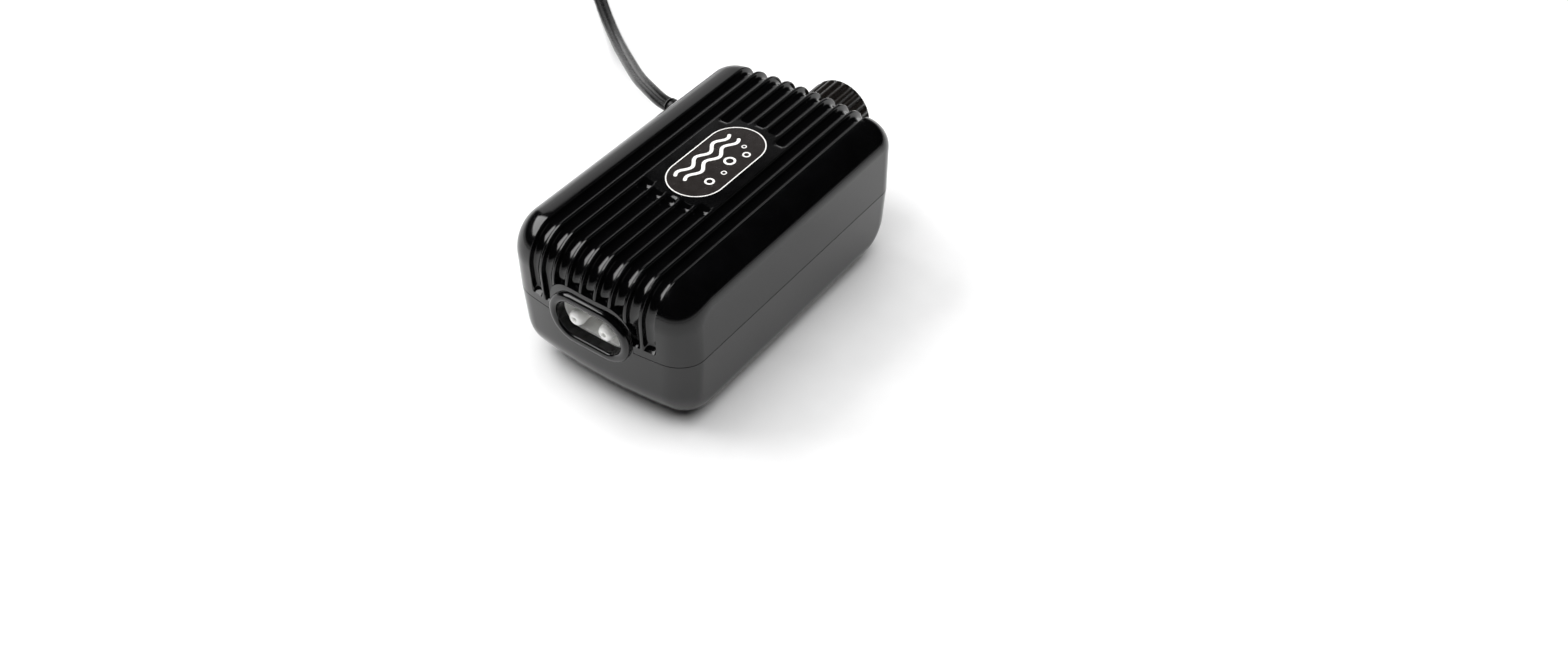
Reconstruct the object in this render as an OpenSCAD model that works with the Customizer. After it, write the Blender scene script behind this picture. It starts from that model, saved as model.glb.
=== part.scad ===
// Twin-outlet diaphragm air pump for an aquarium.
// X is across the pump, +Y runs from the outlets to the knob, +Z is up.
// The origin is under the middle of the pump, on the surface that it stands on.

/* [Casing] */
// Width of the casing at the seam
case_w = 72; // [70:1:78]
// Height of the casing without its feet
case_h = 52; // [50:1:58]
// Height of the seam above the casing's underside
seam_h = 26.25; // [26:0.25:27]
// Radius of the casing's upright corners
corner_r = 9; // [7:0.5:10]
// Radius of the bowed front and rear faces
bow_r = 190; // [150:5:400]
// Radius of the long shoulders
shoulder_r = 8.5; // [7:0.5:10]
// Radius of the top edge at the front
front_top_r = 13; // [10:0.5:14]
// Radius of the top edge at the rear
rear_top_r = 8; // [6:0.5:10]
// Radius of the bottom edge at the front and the rear
bottom_end_r = 13; // [10:0.5:14]
// Radius of the bottom edge along the sides
bottom_side_r = 6; // [4:0.5:7]
// How far the lower casing draws in at its underside, each side
draft = 2; // [0.5:0.5:3]
// Wall thickness of the sides and the floor
wall = 2.4; // [2:0.2:2.8]

/* [Ribbed top] */
// Distance from one channel to the next
channel_pitch = 5.65; // [5.4:0.05:5.8]
// Width of a channel
channel_w = 3.8; // [3:0.1:4.2]
// Depth of a channel
channel_d = 2.3; // [1.5:0.1:2.5]
// Thickness of the top and the upper end walls, channels included
ribbed_wall = 5.4; // [5:0.1:6]

/* [Label] */
// Width of the label
label_w = 20.6; // [16:0.2:22]
// Length of the label
label_l = 41; // [34:0.5:42]

/* [Outlet] */
// Width of the outlet opening
outlet_w = 26; // [24:0.5:27]
// Height of the outlet opening
outlet_h = 13.5; // [12:0.5:14]
// Distance between the two nozzles
nozzle_gap = 11.8; // [11:0.1:12.4]
// Radius of a nozzle, for airline with a 4 mm bore
nozzle_r = 2.6; // [2.3:0.1:2.8]

/* [Knob] */
// Radius of the adjusting knob
knob_r = 12.3; // [10:0.1:13.5]
// How far the knob stands out behind the casing
knob_out = 17.5; // [15:0.5:22]
// Number of grip flutes
knob_flutes = 24; // [16:1:30]

/* [Feet] */
// Radius of a rubber foot
foot_r = 4.6; // [4:0.1:5]
// Height of a rubber foot below the casing
foot_h = 2.5; // [1.5:0.1:4]

/* [Cord] */
// Width of the flat twin cord
cord_w = 5.5; // [5:0.1:5.8]
// Thickness of the flat twin cord
cord_t = 2.8; // [2.4:0.1:2.9]

/* [Hidden] */

$fn = 64;
fit_gap = 0.05;
case_l = 121;
collar_out = 1.5;
overall_l = collar_out + case_l + knob_out;
front_y = collar_out - overall_l / 2;
rear_y = front_y + case_l;
mid_y = (front_y + rear_y) / 2;
base_z = foot_h;
top_z = base_z + case_h;
seam_z = base_z + seam_h;
cut_size = 200;

// the middle of a rounded upright corner, where it runs into the bowed face
corner_x = case_w / 2 - corner_r;
corner_dy = sqrt(pow(bow_r - corner_r, 2) - pow(corner_x, 2));
front_corner_y = front_y + bow_r - corner_dy;
rear_corner_y = rear_y - bow_r + corner_dy;
function bow(x) = x * x / (2 * bow_r);

// label and channel ends
label_y = front_y + 65;
label_recess = 0.4;
plateau_front_y = front_y + 42;
plateau_rear_y = front_y + 89;
channel_end_z = base_z + 29.8;

// outlet
outlet_z = base_z + 28.7;
collar_rim = 3;
tongue_half_w = 16.6;
tongue_top_z = base_z + 41;
tongue_r = 9;
tongue_gap = 0.15;
collar_seat = 0.6;
socket_front_y = front_y + wall + collar_seat;
socket_rear_y = front_y + 11.5;
nozzle_tip_y = front_y - 0.6;
nozzle_bore_r = 1.1;
stub_r = 2;
hose_r = 3;

// posts for the casing screws and the feet
post_x = 25;
post_dy = 37;
post_r = 3.6;
screw_r = 1.45;
head_r = 2.8;
head_z = base_z + 5;

// rocker arms
pivot_y = front_y + 32.5;
pivot_x = 18;
pivot_r = 1.5;
eye_r = 5;
bush_r = 3;
arm_in_x = 17;
arm_t = 2;
arm_low_z = 20;
arm_high_z = 34;
arm_end_y = 33;
arm_mid_z = (arm_low_z + arm_high_z) / 2;
pin_low_z = 10;

// valve chambers and diaphragms
chamber_y = -16;
chamber_half_l = 11;
chamber_in_x = 0.8;
chamber_out_x = 9.5;
chamber_low_z = 9;
chamber_high_z = 40;
diaphragm_r = 10.4;
centre_screw_r = 1.2;
flap_dz = 5.5;
flap_r = 3.6;
flap_seat_x = chamber_out_x - 1.8;

// electromagnet
core_low_z = 19;
core_high_z = 35;
core_mid_z = (core_low_z + core_high_z) / 2;
core_leg_x = 12.5;
core_leg_w = 6;
core_front_y = 8;
core_rear_y = 34;
core_bar_x = 4;
core_screw_x = 8;
core_screw_r = 1.25;
core_half_z = (core_high_z - core_low_z) / 2;
core_seat_z = 8;
bobbin_front_y = core_front_y + core_leg_w + 0.3;
bobbin_l = core_rear_y - core_front_y - 2 * core_leg_w - 0.6;
bobbin_wall = 1.2;
bobbin_half_x = 11;
bobbin_half_z = 14;
pad_t = 1.5;
pad_r = 3;
magnet_t = 2;
magnet_h = 12;

// control and its spindle
knob_z = base_z + 30;
spindle_r = 2;
thread_r = 3;
control_r = 7.5;
knob_gap = 0.8;
knob_front_y = rear_y + knob_gap;
knob_end_y = rear_y + knob_out;

// filter under the floor
filter_y = -8;
filter_half_w = 12.5;
filter_half_l = 12.5;
filter_deep = 5;

// where the cord passes the wall, and the taper outside it
exit_y = 36.5;
exit_z = seam_z - 0.25;
relief_neck_r = 3.6;
relief_turn = 8.7;
relief_l = 20;

// the clamp on the cord's inner end
clamp_x = -27;
clamp_z = exit_z + cord_t / 2;
clamp_screw_y = exit_y + 5.5;
clamp_screw_r = 1.05;
inner_end_x = -case_w / 2 + wall + 2.2;

// the cord's route to its coil, its tail and the coil itself
lead_route = [
    [-56, 39.5, 28.5], [-61, 41.2, 27.6], [-67, 44.3, 26.2], [-74, 48.6, 24], [-81.5, 53.6, 21.2],
    [-89.5, 59.7, 18], [-98, 66.5, 14.7], [-107, 73.8, 11.2], [-116, 81.2, 7.8], [-125, 88.6, 4.9],
    [-134, 95.9, 2.8], [-143.5, 103.5, 1.7], [-153, 111.2, 1.5], [-161, 117.6, 1.5],
    [-169, 124, 1.5], [-177, 130.4, 1.5], [-185, 136.9, 1.5]
];
tail_route = [
    [-162.5, 201, 4.4], [-155, 201, 4.2], [-147, 201.3, 3.3], [-139, 201.8, 2.8], [-131, 202.2, 3.2],
    [-124, 202.4, 4.6], [-118, 202.5, 5.9], [-113, 202.5, 6.5]
];
coil_centre = [-162.5, 165];
coil_outer_r = 36;
turns_across = 3;
coil_layers = 2;
coil_inner_r = coil_outer_r - (turns_across - 1) * cord_w;
plug_l = 26;
plug_w = 24;
plug_t = 13;
plug_boot_l = 12;
blade_l = 16;
blade_gap = 12.7;

black = [0.05, 0.05, 0.055];
white = [0.9, 0.9, 0.88];
rubber = [0.09, 0.09, 0.09];
steel = [0.7, 0.71, 0.73];
copper = [0.72, 0.38, 0.2];

// ---- shared shapes ----

module along_x(w) rotate([90, 0, 90]) linear_extrude(w, center = true) children();

module towards_rear(y, l) translate([0, y + l, 0]) rotate([90, 0, 0]) linear_extrude(l) children();

module rod_y(y, l, r) translate([0, y + l, 0]) rotate([90, 0, 0]) cylinder(h = l, r = r);

module stadium(w, h) {
    square([w - h, h], center = true);
    for (s = [-1, 1]) translate([s * (w - h) / 2, 0]) circle(d = h);
}

module both_sides() for (s = [-1, 1]) on_side(s) children();

module on_side(s) if (s < 0) mirror([1, 0, 0]) children(); else children();

module at_posts() for (x = [-post_x, post_x], y = [mid_y - post_dy, mid_y + post_dy])
    translate([x, y, 0]) children();

module at_core_screws() for (x = [-core_screw_x, core_screw_x],
        y = [core_front_y + core_leg_w / 2, core_rear_y - core_leg_w / 2])
    translate([x, y, 0]) children();

// ---- the casing's outer form, drawn in by an inset for its hollow ----

module casing_plan(inset) {
    tangent_x = corner_x * (bow_r - inset) / (bow_r - corner_r);
    intersection() {
        translate([0, front_y + bow_r]) circle(r = bow_r - inset, $fn = 360);
        translate([0, rear_y - bow_r]) circle(r = bow_r - inset, $fn = 360);
        translate([-tangent_x, front_y - 10]) square([2 * tangent_x, case_l + 20]);
    }
    translate([inset - case_w / 2, front_corner_y])
        square([case_w - 2 * inset, rear_corner_y - front_corner_y]);
    for (x = [-corner_x, corner_x], y = [front_corner_y, rear_corner_y])
        translate([x, y]) circle(r = corner_r - inset);
}

// the outline seen from the side: y to the right, z up
module casing_side(end_inset, top_inset, floor_inset) {
    y0 = front_y + end_inset;
    y1 = rear_y - end_inset;
    z0 = base_z + floor_inset;
    z1 = top_z - top_inset;
    rf = front_top_r - min(end_inset, top_inset);
    rr = max(1, rear_top_r - min(end_inset, top_inset));
    rb = bottom_end_r - floor_inset;
    polygon([
        [y0 + rb, z0], [y1 - rb, z0], [y1, z0 + rb], [y1, z1 - rr],
        [y1 - rr, z1], [y0 + rf, z1], [y0, z1 - rf], [y0, z0 + rb]
    ]);
    translate([y0 + rb, z0 + rb]) circle(r = rb);
    translate([y1 - rb, z0 + rb]) circle(r = rb);
    translate([y1 - rr, z1 - rr]) circle(r = rr);
    translate([y0 + rf, z1 - rf]) circle(r = rf);
}

// the outline seen from the front: x to the right, z up
module casing_front(inset, top_inset) {
    lean = atan(draft / seam_h);
    hw = case_w / 2 - inset;
    z0 = base_z + inset;
    z1 = top_z - top_inset;
    rs = shoulder_r - inset;
    rb = bottom_side_r - inset;
    side_x = hw - (seam_z - z0 - rb) * tan(lean) - rb / cos(lean);
    both_sides() {
        polygon([
            [0, z0], [side_x, z0], [side_x + rb * cos(lean), z0 + rb - rb * sin(lean)],
            [hw, seam_z], [hw, z1 - rs], [hw - rs, z1], [0, z1]
        ]);
        translate([side_x, z0 + rb]) circle(r = rb);
        translate([hw - rs, z1 - rs]) circle(r = rs);
    }
}

module casing_form(inset, end_inset, top_inset) {
    intersection() {
        translate([0, 0, base_z - 1]) linear_extrude(case_h + 2) casing_plan(inset);
        along_x(case_w + 4) casing_side(end_inset, top_inset, inset);
        towards_rear(front_y - 5, case_l + 10) casing_front(inset, top_inset);
    }
}

module above_seam() translate([-cut_size / 2, -cut_size / 2, seam_z]) cube(cut_size);

module below_seam() translate([-cut_size / 2, -cut_size / 2, seam_z - cut_size]) cube(cut_size);

// an arch that the lower casing sends up into the front of the upper one
module tongue_block(gap) {
    half_w = tongue_half_w - gap;
    top = tongue_top_z - gap;
    arch_z = top - tongue_r;
    towards_rear(front_y - 5, 5 + ribbed_wall + 0.6) {
        translate([-half_w, seam_z - 4]) square([2 * half_w, arch_z - seam_z + 4]);
        translate([tongue_r - half_w, arch_z - 1]) square([2 * (half_w - tongue_r), tongue_r + 1]);
        for (s = [-1, 1]) translate([s * (half_w - tongue_r), arch_z]) circle(r = tongue_r);
    }
}

// the space that one channel takes out of the ribbed top
module channel(x, y_low, y_high, shift) {
    translate([x, shift, 0]) intersection() {
        along_x(channel_w) difference() {
            translate([front_y - 10, channel_end_z]) square([case_l + 20, case_h]);
            casing_side(channel_d, channel_d, channel_d);
        }
        translate([-channel_w, y_low - shift, base_z]) cube([2 * channel_w, y_high - y_low, case_h + 10]);
    }
}

module channels() {
    for (i = [-4:4]) {
        x = i * channel_pitch;
        stops = abs(i) <= 2;
        channel(x, front_y - 5, stops ? plateau_front_y + x * x / 52 : mid_y + 1, bow(x));
        channel(x, stops ? plateau_rear_y - x * x / 30 : mid_y - 1, rear_y + 5, -bow(x));
    }
}

module relief_passage(r) translate([-case_w / 2, exit_y, exit_z]) rotate([0, 90, 0])
    cylinder(h = 14, r = r, center = true);

// ---- casing ----

module upper_casing() {
    color(black) difference() {
        union() {
            difference() {
                casing_form(0, 0, 0);
                casing_form(wall, ribbed_wall, ribbed_wall);
                channels();
            }
            intersection() {
                casing_form(1, 1, 3);
                at_posts() translate([0, 0, seam_z]) cylinder(h = case_h, r = post_r);
            }
        }
        below_seam();
        tongue_block(0);
        at_posts() translate([0, 0, seam_z - 1]) cylinder(h = 13, r = screw_r);
        relief_passage(relief_neck_r);
        translate([0, 0, knob_z]) rod_y(rear_y - 12, 20, thread_r);
        translate([0, label_y, top_z - label_recess]) linear_extrude(2) rotate(90) stadium(label_l, label_w);
    }
}

// the collar runs through the bowed wall to a flat seat for the manifold
module outlet_collar() translate([0, 0, outlet_z])
    towards_rear(front_y - collar_out, collar_out + wall + collar_seat)
        stadium(outlet_w + 2 * collar_rim, outlet_h + 2 * collar_rim);

module floor_well() translate([0, filter_y, base_z + wall - 0.5])
    linear_extrude(chamber_low_z - base_z - wall + 0.5)
        square([2 * filter_half_w + 5, 2 * filter_half_l + 5], center = true);

module lower_casing() {
    color(black) difference() {
        union() {
            difference() {
                casing_form(0, 0, 0);
                casing_form(wall, wall, ribbed_wall);
                above_seam();
            }
            intersection() {
                casing_form(0, 0, 0);
                tongue_block(tongue_gap);
                translate([0, 0, outlet_z]) towards_rear(front_y - 5, 5 + wall) square(60, center = true);
            }
            outlet_collar();
            intersection() {
                casing_form(1, 1, 3);
                union() {
                    at_posts() cylinder(h = seam_z, r = post_r + 0.6);
                    at_core_screws() cylinder(h = core_low_z - pad_t, r = 3.2);
                    for (s = [-1, 1]) translate([s * pivot_x, pivot_y, 0])
                        cylinder(h = arm_low_z - 1, r = 3.2);
                    translate([clamp_x, clamp_screw_y, 0]) cylinder(h = clamp_z, r = 2.4);
                }
            }
            floor_well();
        }
        translate([0, 0, outlet_z]) towards_rear(front_y - 5, 12) stadium(outlet_w, outlet_h);
        at_posts() {
            cylinder(h = seam_z + 1, r = screw_r + 0.15);
            cylinder(h = head_z, r = head_r + 0.5);
        }
        at_core_screws() translate([0, 0, core_seat_z]) cylinder(h = core_low_z, r = core_screw_r);
        for (s = [-1, 1]) translate([s * pivot_x, pivot_y, pin_low_z]) cylinder(h = 20, r = pivot_r);
        translate([clamp_x, clamp_screw_y, 18]) cylinder(h = 20, r = clamp_screw_r);
        relief_passage(relief_neck_r);
        translate([0, filter_y, 0]) {
            linear_extrude(base_z + filter_deep)
                square([2 * filter_half_w, 2 * filter_half_l], center = true);
            for (x = [-8, 0, 8], y = [-8, 8]) translate([x, y, 0]) cylinder(h = 20, r = 1.2);
        }
    }
}

module label_plate() {
    color([0.1, 0.08, 0.07]) translate([0, label_y, top_z - label_recess]) linear_extrude(label_recess + 0.1)
        rotate(90) stadium(label_l - 0.2, label_w - 0.2);
}

module rubber_feet() {
    color(rubber) at_posts() {
        cylinder(h = foot_h, r = foot_r);
        cylinder(h = foot_h + 2, r = head_r + 0.5);
    }
}

module casing_screws() {
    color(steel) at_posts() {
        translate([0, 0, head_z]) cylinder(h = 30, r = screw_r);
        translate([0, 0, head_z - 2]) cylinder(h = 2, r = head_r);
    }
}

module filter_cover() {
    color(black) translate([0, filter_y, base_z + 0.1]) difference() {
        linear_extrude(1.4) square([2 * filter_half_w - 0.4, 2 * filter_half_l - 0.4], center = true);
        for (i = [-3:3]) translate([0, i * 3, -1]) linear_extrude(4) stadium(18, 1.2);
    }
}

module filter_felt() {
    color([0.85, 0.85, 0.8]) translate([0, filter_y, base_z + 1.6]) linear_extrude(3.2)
        square([2 * filter_half_w - 1, 2 * filter_half_l - 1], center = true);
}

// ---- outlet ----

module nozzle() {
    straight_l = socket_rear_y - 2.5 - nozzle_tip_y - 2;
    translate([0, nozzle_tip_y, 0]) rotate([-90, 0, 0]) {
        cylinder(h = 2, r1 = nozzle_r - 0.6, r2 = nozzle_r);
        translate([0, 0, 2]) cylinder(h = straight_l, r = nozzle_r);
    }
}

module outlet_manifold() {
    color(white) translate([0, 0, outlet_z]) difference() {
        union() {
            difference() {
                towards_rear(socket_front_y, socket_rear_y - socket_front_y)
                    stadium(outlet_w + 1, outlet_h + 1);
                towards_rear(socket_front_y - 1, socket_rear_y - socket_front_y - 1.5)
                    stadium(outlet_w - 1.4, outlet_h - 1.4);
            }
            for (s = [-1, 1]) translate([s * nozzle_gap / 2, 0, 0]) {
                nozzle();
                rod_y(socket_rear_y - 1, 6, stub_r);
            }
        }
        for (s = [-1, 1]) translate([s * nozzle_gap / 2, 0, 0])
            rod_y(nozzle_tip_y - 1, 30, nozzle_bore_r);
    }
}

module air_hose(s) {
    start_y = socket_rear_y + 1;
    color([0.85, 0.87, 0.87]) translate([s * nozzle_gap / 2, 0, outlet_z]) difference() {
        rod_y(start_y, chamber_y - chamber_half_l - 0.5 - start_y, hose_r);
        rod_y(start_y - 1, 60, stub_r);
    }
}

// ---- control ----

module adjusting_knob() {
    color(black) translate([0, 0, knob_z]) difference() {
        union() {
            rod_y(knob_front_y, knob_end_y - knob_front_y - 0.8, knob_r);
            rod_y(knob_front_y, knob_end_y - knob_front_y, knob_r - 0.9);
        }
        for (i = [0:knob_flutes - 1]) rotate([0, i * 360 / knob_flutes, 0])
            translate([knob_r + 0.55, 0, 0]) rod_y(knob_front_y + 1.6, 30, 1.1);
        rod_y(knob_front_y - 1, 4.4, 6.5);
        rod_y(knob_front_y - 1, 13, spindle_r);
    }
}

module knob_spindle() {
    color(steel) translate([0, 0, knob_z]) rod_y(rear_y - 9, 9 + knob_gap + 12, spindle_r);
}

module control_body() {
    inner_y = rear_y - ribbed_wall;
    color([0.25, 0.25, 0.27]) translate([0, 0, knob_z]) difference() {
        union() {
            rod_y(inner_y - 8, 8, control_r);
            rod_y(inner_y - 1, ribbed_wall + 3.8, thread_r);
        }
        rod_y(inner_y - 4, 20, spindle_r + fit_gap);
    }
}

module control_nut() {
    color(steel) translate([0, rear_y + 2.1, knob_z]) rotate([90, 0, 0]) difference() {
        cylinder(h = 2, r = 5, $fn = 6);
        translate([0, 0, -1]) cylinder(h = 4, r = thread_r);
    }
}

module circuit_board() {
    color([0.1, 0.35, 0.2]) translate([-19, 36.5, 9]) difference() {
        cube([38, 9, 1.6]);
        for (x = [3, 35]) translate([x, 4.5, -1]) cylinder(h = 4, r = 1);
    }
}

module board_components() {
    color([0.75, 0.5, 0.15]) translate([0, 41, 10.6]) {
        translate([-12, 0, 0]) cylinder(h = 9, r = 3);
        translate([-5.5, -2.5, 0]) cube([8, 5, 7]);
        translate([6, -3, 0]) cube([4.5, 6, 5]);
        translate([12.5, -2, 0]) cube([2, 4, 4]);
    }
}

module supply_wires() {
    color([0.6, 0.1, 0.08]) for (dy = [0, 3]) translate([0, exit_y - 1 + dy, 0]) {
        translate([-17, 0, 10.6]) cylinder(h = exit_z - 10.6, r = 0.7);
        translate([-17, 0, exit_z]) sphere(r = 0.7);
        translate([-17, 0, exit_z]) rotate([0, -90, 0]) cylinder(h = 7, r = 0.7);
    }
}

// ---- electromagnet ----

module magnet_core() {
    color([0.45, 0.46, 0.48]) translate([0, 0, core_low_z]) difference() {
        linear_extrude(core_high_z - core_low_z) {
            for (y = [core_front_y, core_rear_y - core_leg_w])
                translate([-core_leg_x, y]) square([2 * core_leg_x, core_leg_w]);
            translate([-core_bar_x, core_front_y + 1])
                square([2 * core_bar_x, core_rear_y - core_front_y - 2]);
        }
        at_core_screws() translate([0, 0, -1]) cylinder(h = 20, r = core_screw_r + fit_gap);
    }
}

module bobbin_ring(half_x, half_z, y, l) translate([0, 0, core_mid_z]) towards_rear(y, l)
    square([2 * half_x, 2 * half_z], center = true);

module bobbin_sleeve()
    bobbin_ring(core_bar_x + 0.1 + bobbin_wall, core_half_z + 0.1 + bobbin_wall, bobbin_front_y, bobbin_l);

module coil_bobbin() {
    color(white) difference() {
        union() {
            bobbin_sleeve();
            for (y = [bobbin_front_y, bobbin_front_y + bobbin_l - bobbin_wall])
                bobbin_ring(bobbin_half_x, bobbin_half_z, y, bobbin_wall);
        }
        bobbin_ring(core_bar_x + 0.1, core_half_z + 0.1, bobbin_front_y - 1, bobbin_l + 2);
    }
}

module coil_winding() {
    color(copper) difference() {
        bobbin_ring(bobbin_half_x - 1, bobbin_half_z - 1, bobbin_front_y + bobbin_wall,
            bobbin_l - 2 * bobbin_wall);
        bobbin_sleeve();
    }
}

module core_pads() {
    color(rubber) at_core_screws() translate([0, 0, core_low_z - pad_t]) difference() {
        cylinder(h = pad_t, r = pad_r);
        translate([0, 0, -1]) cylinder(h = 4, r = core_screw_r + fit_gap);
    }
}

module core_screws() {
    color(steel) at_core_screws() {
        translate([0, 0, core_seat_z]) cylinder(h = core_high_z - core_seat_z, r = core_screw_r);
        translate([0, 0, core_high_z]) cylinder(h = 1.6, r = 2.4);
    }
}

// ---- rocker arms, one each side ----

module arm(s) {
    color([0.82, 0.8, 0.74]) on_side(s) difference() {
        union() {
            translate([arm_in_x, pivot_y, arm_low_z])
                cube([arm_t, arm_end_y - pivot_y, arm_high_z - arm_low_z]);
            translate([pivot_x, pivot_y, arm_low_z]) cylinder(h = arm_high_z - arm_low_z, r = eye_r);
            translate([arm_in_x, pivot_y + 4, arm_mid_z - 1]) cube([arm_t + 1.2, 12, 2]);
        }
        translate([pivot_x, pivot_y, 0]) cylinder(h = 50, r = bush_r);
        translate([arm_in_x - 1, chamber_y, arm_mid_z]) rotate([0, 90, 0])
            cylinder(h = 9, r = centre_screw_r);
    }
}

module magnet(s) {
    color([0.2, 0.2, 0.21]) on_side(s)
        translate([arm_in_x - magnet_t, core_front_y + 2, arm_mid_z - magnet_h / 2])
            cube([magnet_t, core_rear_y - core_front_y - 4, magnet_h]);
}

module bush(s) {
    color(rubber) translate([s * pivot_x, pivot_y, arm_low_z]) difference() {
        cylinder(h = arm_high_z - arm_low_z, r = bush_r);
        translate([0, 0, -1]) cylinder(h = 20, r = pivot_r + fit_gap);
    }
}

module pivot_pins() {
    color(steel) for (s = [-1, 1]) translate([s * pivot_x, pivot_y, pin_low_z])
        cylinder(h = arm_high_z + 1 - pin_low_z, r = pivot_r);
}

module diaphragm(s) {
    color(rubber) on_side(s) translate([chamber_out_x, chamber_y, arm_mid_z]) rotate([0, 90, 0]) {
        cylinder(h = 2, r = diaphragm_r);
        translate([0, 0, 2]) cylinder(h = 3.2, r1 = 8.6, r2 = 6.4);
        translate([0, 0, 5.2]) cylinder(h = arm_in_x - chamber_out_x - 5.2, r = 3.2);
    }
}

module diaphragm_screw(s) {
    color(steel) on_side(s) translate([arm_in_x, chamber_y, arm_mid_z]) rotate([0, 90, 0]) {
        cylinder(h = arm_t, r = centre_screw_r);
        translate([0, 0, arm_t]) cylinder(h = 1.4, r = 2 * centre_screw_r);
    }
}

module valve_chamber(s) {
    color([0.78, 0.8, 0.82]) on_side(s) difference() {
        union() {
            translate([chamber_in_x, chamber_y - chamber_half_l, chamber_low_z])
                cube([chamber_out_x - chamber_in_x, 2 * chamber_half_l, chamber_high_z - chamber_low_z]);
            translate([nozzle_gap / 2, 0, outlet_z]) rod_y(chamber_y - chamber_half_l - 6, 7, stub_r);
        }
        for (z = [-flap_dz, flap_dz]) translate([flap_seat_x, chamber_y, arm_mid_z + z])
            rotate([0, 90, 0]) cylinder(h = 4, r = flap_r + 0.4);
        translate([nozzle_gap / 2, 0, outlet_z])
            rod_y(chamber_y - chamber_half_l - 8, 14, nozzle_bore_r);
        translate([nozzle_gap / 2, chamber_y, chamber_low_z - 1]) cylinder(h = 10, r = nozzle_bore_r);
    }
}

module valve_flaps(s) {
    color([0.75, 0.45, 0.2]) on_side(s) for (z = [-flap_dz, flap_dz])
        translate([flap_seat_x, chamber_y, arm_mid_z + z]) rotate([0, 90, 0])
            cylinder(h = 0.6, r = flap_r);
}

// ---- cord ----

module inner_cord_end() {
    color(black) translate([inner_end_x, exit_y, exit_z]) rotate([90, 0, 90])
        linear_extrude(-24 - inner_end_x) stadium(cord_w, cord_t);
}

module cord_clamp() {
    color(black) translate([clamp_x - 2.5, exit_y - 2.6, clamp_z]) difference() {
        cube([5, 10.6, 2.4]);
        translate([2.5, clamp_screw_y - exit_y + 2.6, -1]) cylinder(h = 5, r = clamp_screw_r);
    }
}

module clamp_screw() {
    color(steel) translate([clamp_x, clamp_screw_y, 20]) {
        cylinder(h = clamp_z + 2.4 - 20, r = clamp_screw_r);
        translate([0, 0, clamp_z + 2.4 - 20]) cylinder(h = 1.2, r = 1.9);
    }
}

module strain_relief() {
    color(rubber) translate([-case_w / 2, exit_y, exit_z]) {
        rotate([0, 90, 0]) {
            translate([0, 0, wall + 0.2]) cylinder(h = 2, r = 4.6);
            translate([0, 0, -0.6]) cylinder(h = wall + 1, r = relief_neck_r - 0.1);
        }
        rotate([0, 0, -relief_turn]) rotate([0, -90, 0]) {
            translate([0, 0, 0.6]) cylinder(h = 2.4, r = 4.6);
            translate([0, 0, 3]) cylinder(h = relief_l - 3.2, r1 = 4.2, r2 = 3);
        }
    }
}

// a unit vector along the route at one of its points
function unit(v) = v / norm(v);
function heading(p, i) = unit(p[min(i + 1, len(p) - 1)] - p[max(i - 1, 0)]);

// one ring of the flat cord's outline, lying flat across its heading
function flat_ring(p, i) = let (h = heading(p, i), side = unit(cross([0, 0, 1], h)), up = cross(h, side))
    [for (k = [0:11]) let (a = k * 30 + 15, cx = cos(a) > 0 ? 1 : -1)
        p[i] + side * (cx * (cord_w - cord_t) / 2 + cos(a) * cord_t / 2) + up * sin(a) * cord_t / 2];

module swept_cord(p) {
    rings = [for (i = [0:len(p) - 1]) flat_ring(p, i)];
    walls = [for (i = [0:len(p) - 2], k = [0:11])
        [i * 12 + k, i * 12 + (k + 1) % 12, (i + 1) * 12 + (k + 1) % 12, (i + 1) * 12 + k]];
    caps = [[for (k = [11:-1:0]) k], [for (k = [0:11]) (len(p) - 1) * 12 + k]];
    polyhedron([for (r = rings, q = r) q], concat(walls, caps));
}

module cord_lead() color(black) swept_cord(lead_route);

module cord_tail() color(black) swept_cord(tail_route);

module cord_coil() {
    color(black) translate([coil_centre[0], coil_centre[1], 0.1]) rotate_extrude()
        translate([coil_inner_r - cord_w / 2, 0]) square([turns_across * cord_w, coil_layers * cord_t]);
}

module cord_tie() {
    across = turns_across * cord_w;
    height = coil_layers * cord_t;
    color([0.2, 0.2, 0.2]) translate([coil_centre[0] + (coil_outer_r + coil_inner_r) / 2, coil_centre[1], 0])
        rotate([90, 0, 0]) linear_extrude(3, center = true) difference() {
            translate([-across / 2 - 1, 0]) square([across + 2, height + 1.1]);
            translate([-across / 2 - 0.2, 0.1]) square([across + 0.4, height]);
        }
}

module along_plug() translate(tail_route[len(tail_route) - 1]) rotate([0, 90, 0]) children();

module plug_body() {
    color(black) along_plug() {
        cylinder(h = plug_boot_l, r1 = 3.4, r2 = 5);
        translate([0, 0, plug_boot_l]) intersection() {
            translate([0, 0, plug_l / 2]) cube([plug_t, plug_w, plug_l], center = true);
            cylinder(h = plug_l, r = plug_w / 2);
        }
    }
}

module plug_blades() {
    color([0.8, 0.68, 0.35]) along_plug() translate([0, 0, plug_boot_l + plug_l]) for (s = [-1, 1])
        translate([0, s * blade_gap / 2, blade_l / 2]) cube([6.3, 1.5, blade_l], center = true);
}

upper_casing();
lower_casing();
label_plate();
adjusting_knob();
knob_spindle();
outlet_manifold();
rubber_feet();
casing_screws();
filter_cover();
filter_felt();
magnet_core();
coil_bobbin();
coil_winding();
core_pads();
core_screws();
arm(-1);  // left_arm
arm(1);  // right_arm
magnet(-1);  // left_magnet
magnet(1);  // right_magnet
bush(-1);  // left_bush
bush(1);  // right_bush
pivot_pins();
diaphragm(-1);  // left_diaphragm
diaphragm(1);  // right_diaphragm
diaphragm_screw(-1);  // left_diaphragm_screw
diaphragm_screw(1);  // right_diaphragm_screw
valve_chamber(-1);  // left_valve_chamber
valve_chamber(1);  // right_valve_chamber
valve_flaps(-1);  // left_valve_flaps
valve_flaps(1);  // right_valve_flaps
air_hose(-1);  // left_air_hose
air_hose(1);  // right_air_hose
control_body();
control_nut();
circuit_board();
board_components();
supply_wires();
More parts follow.
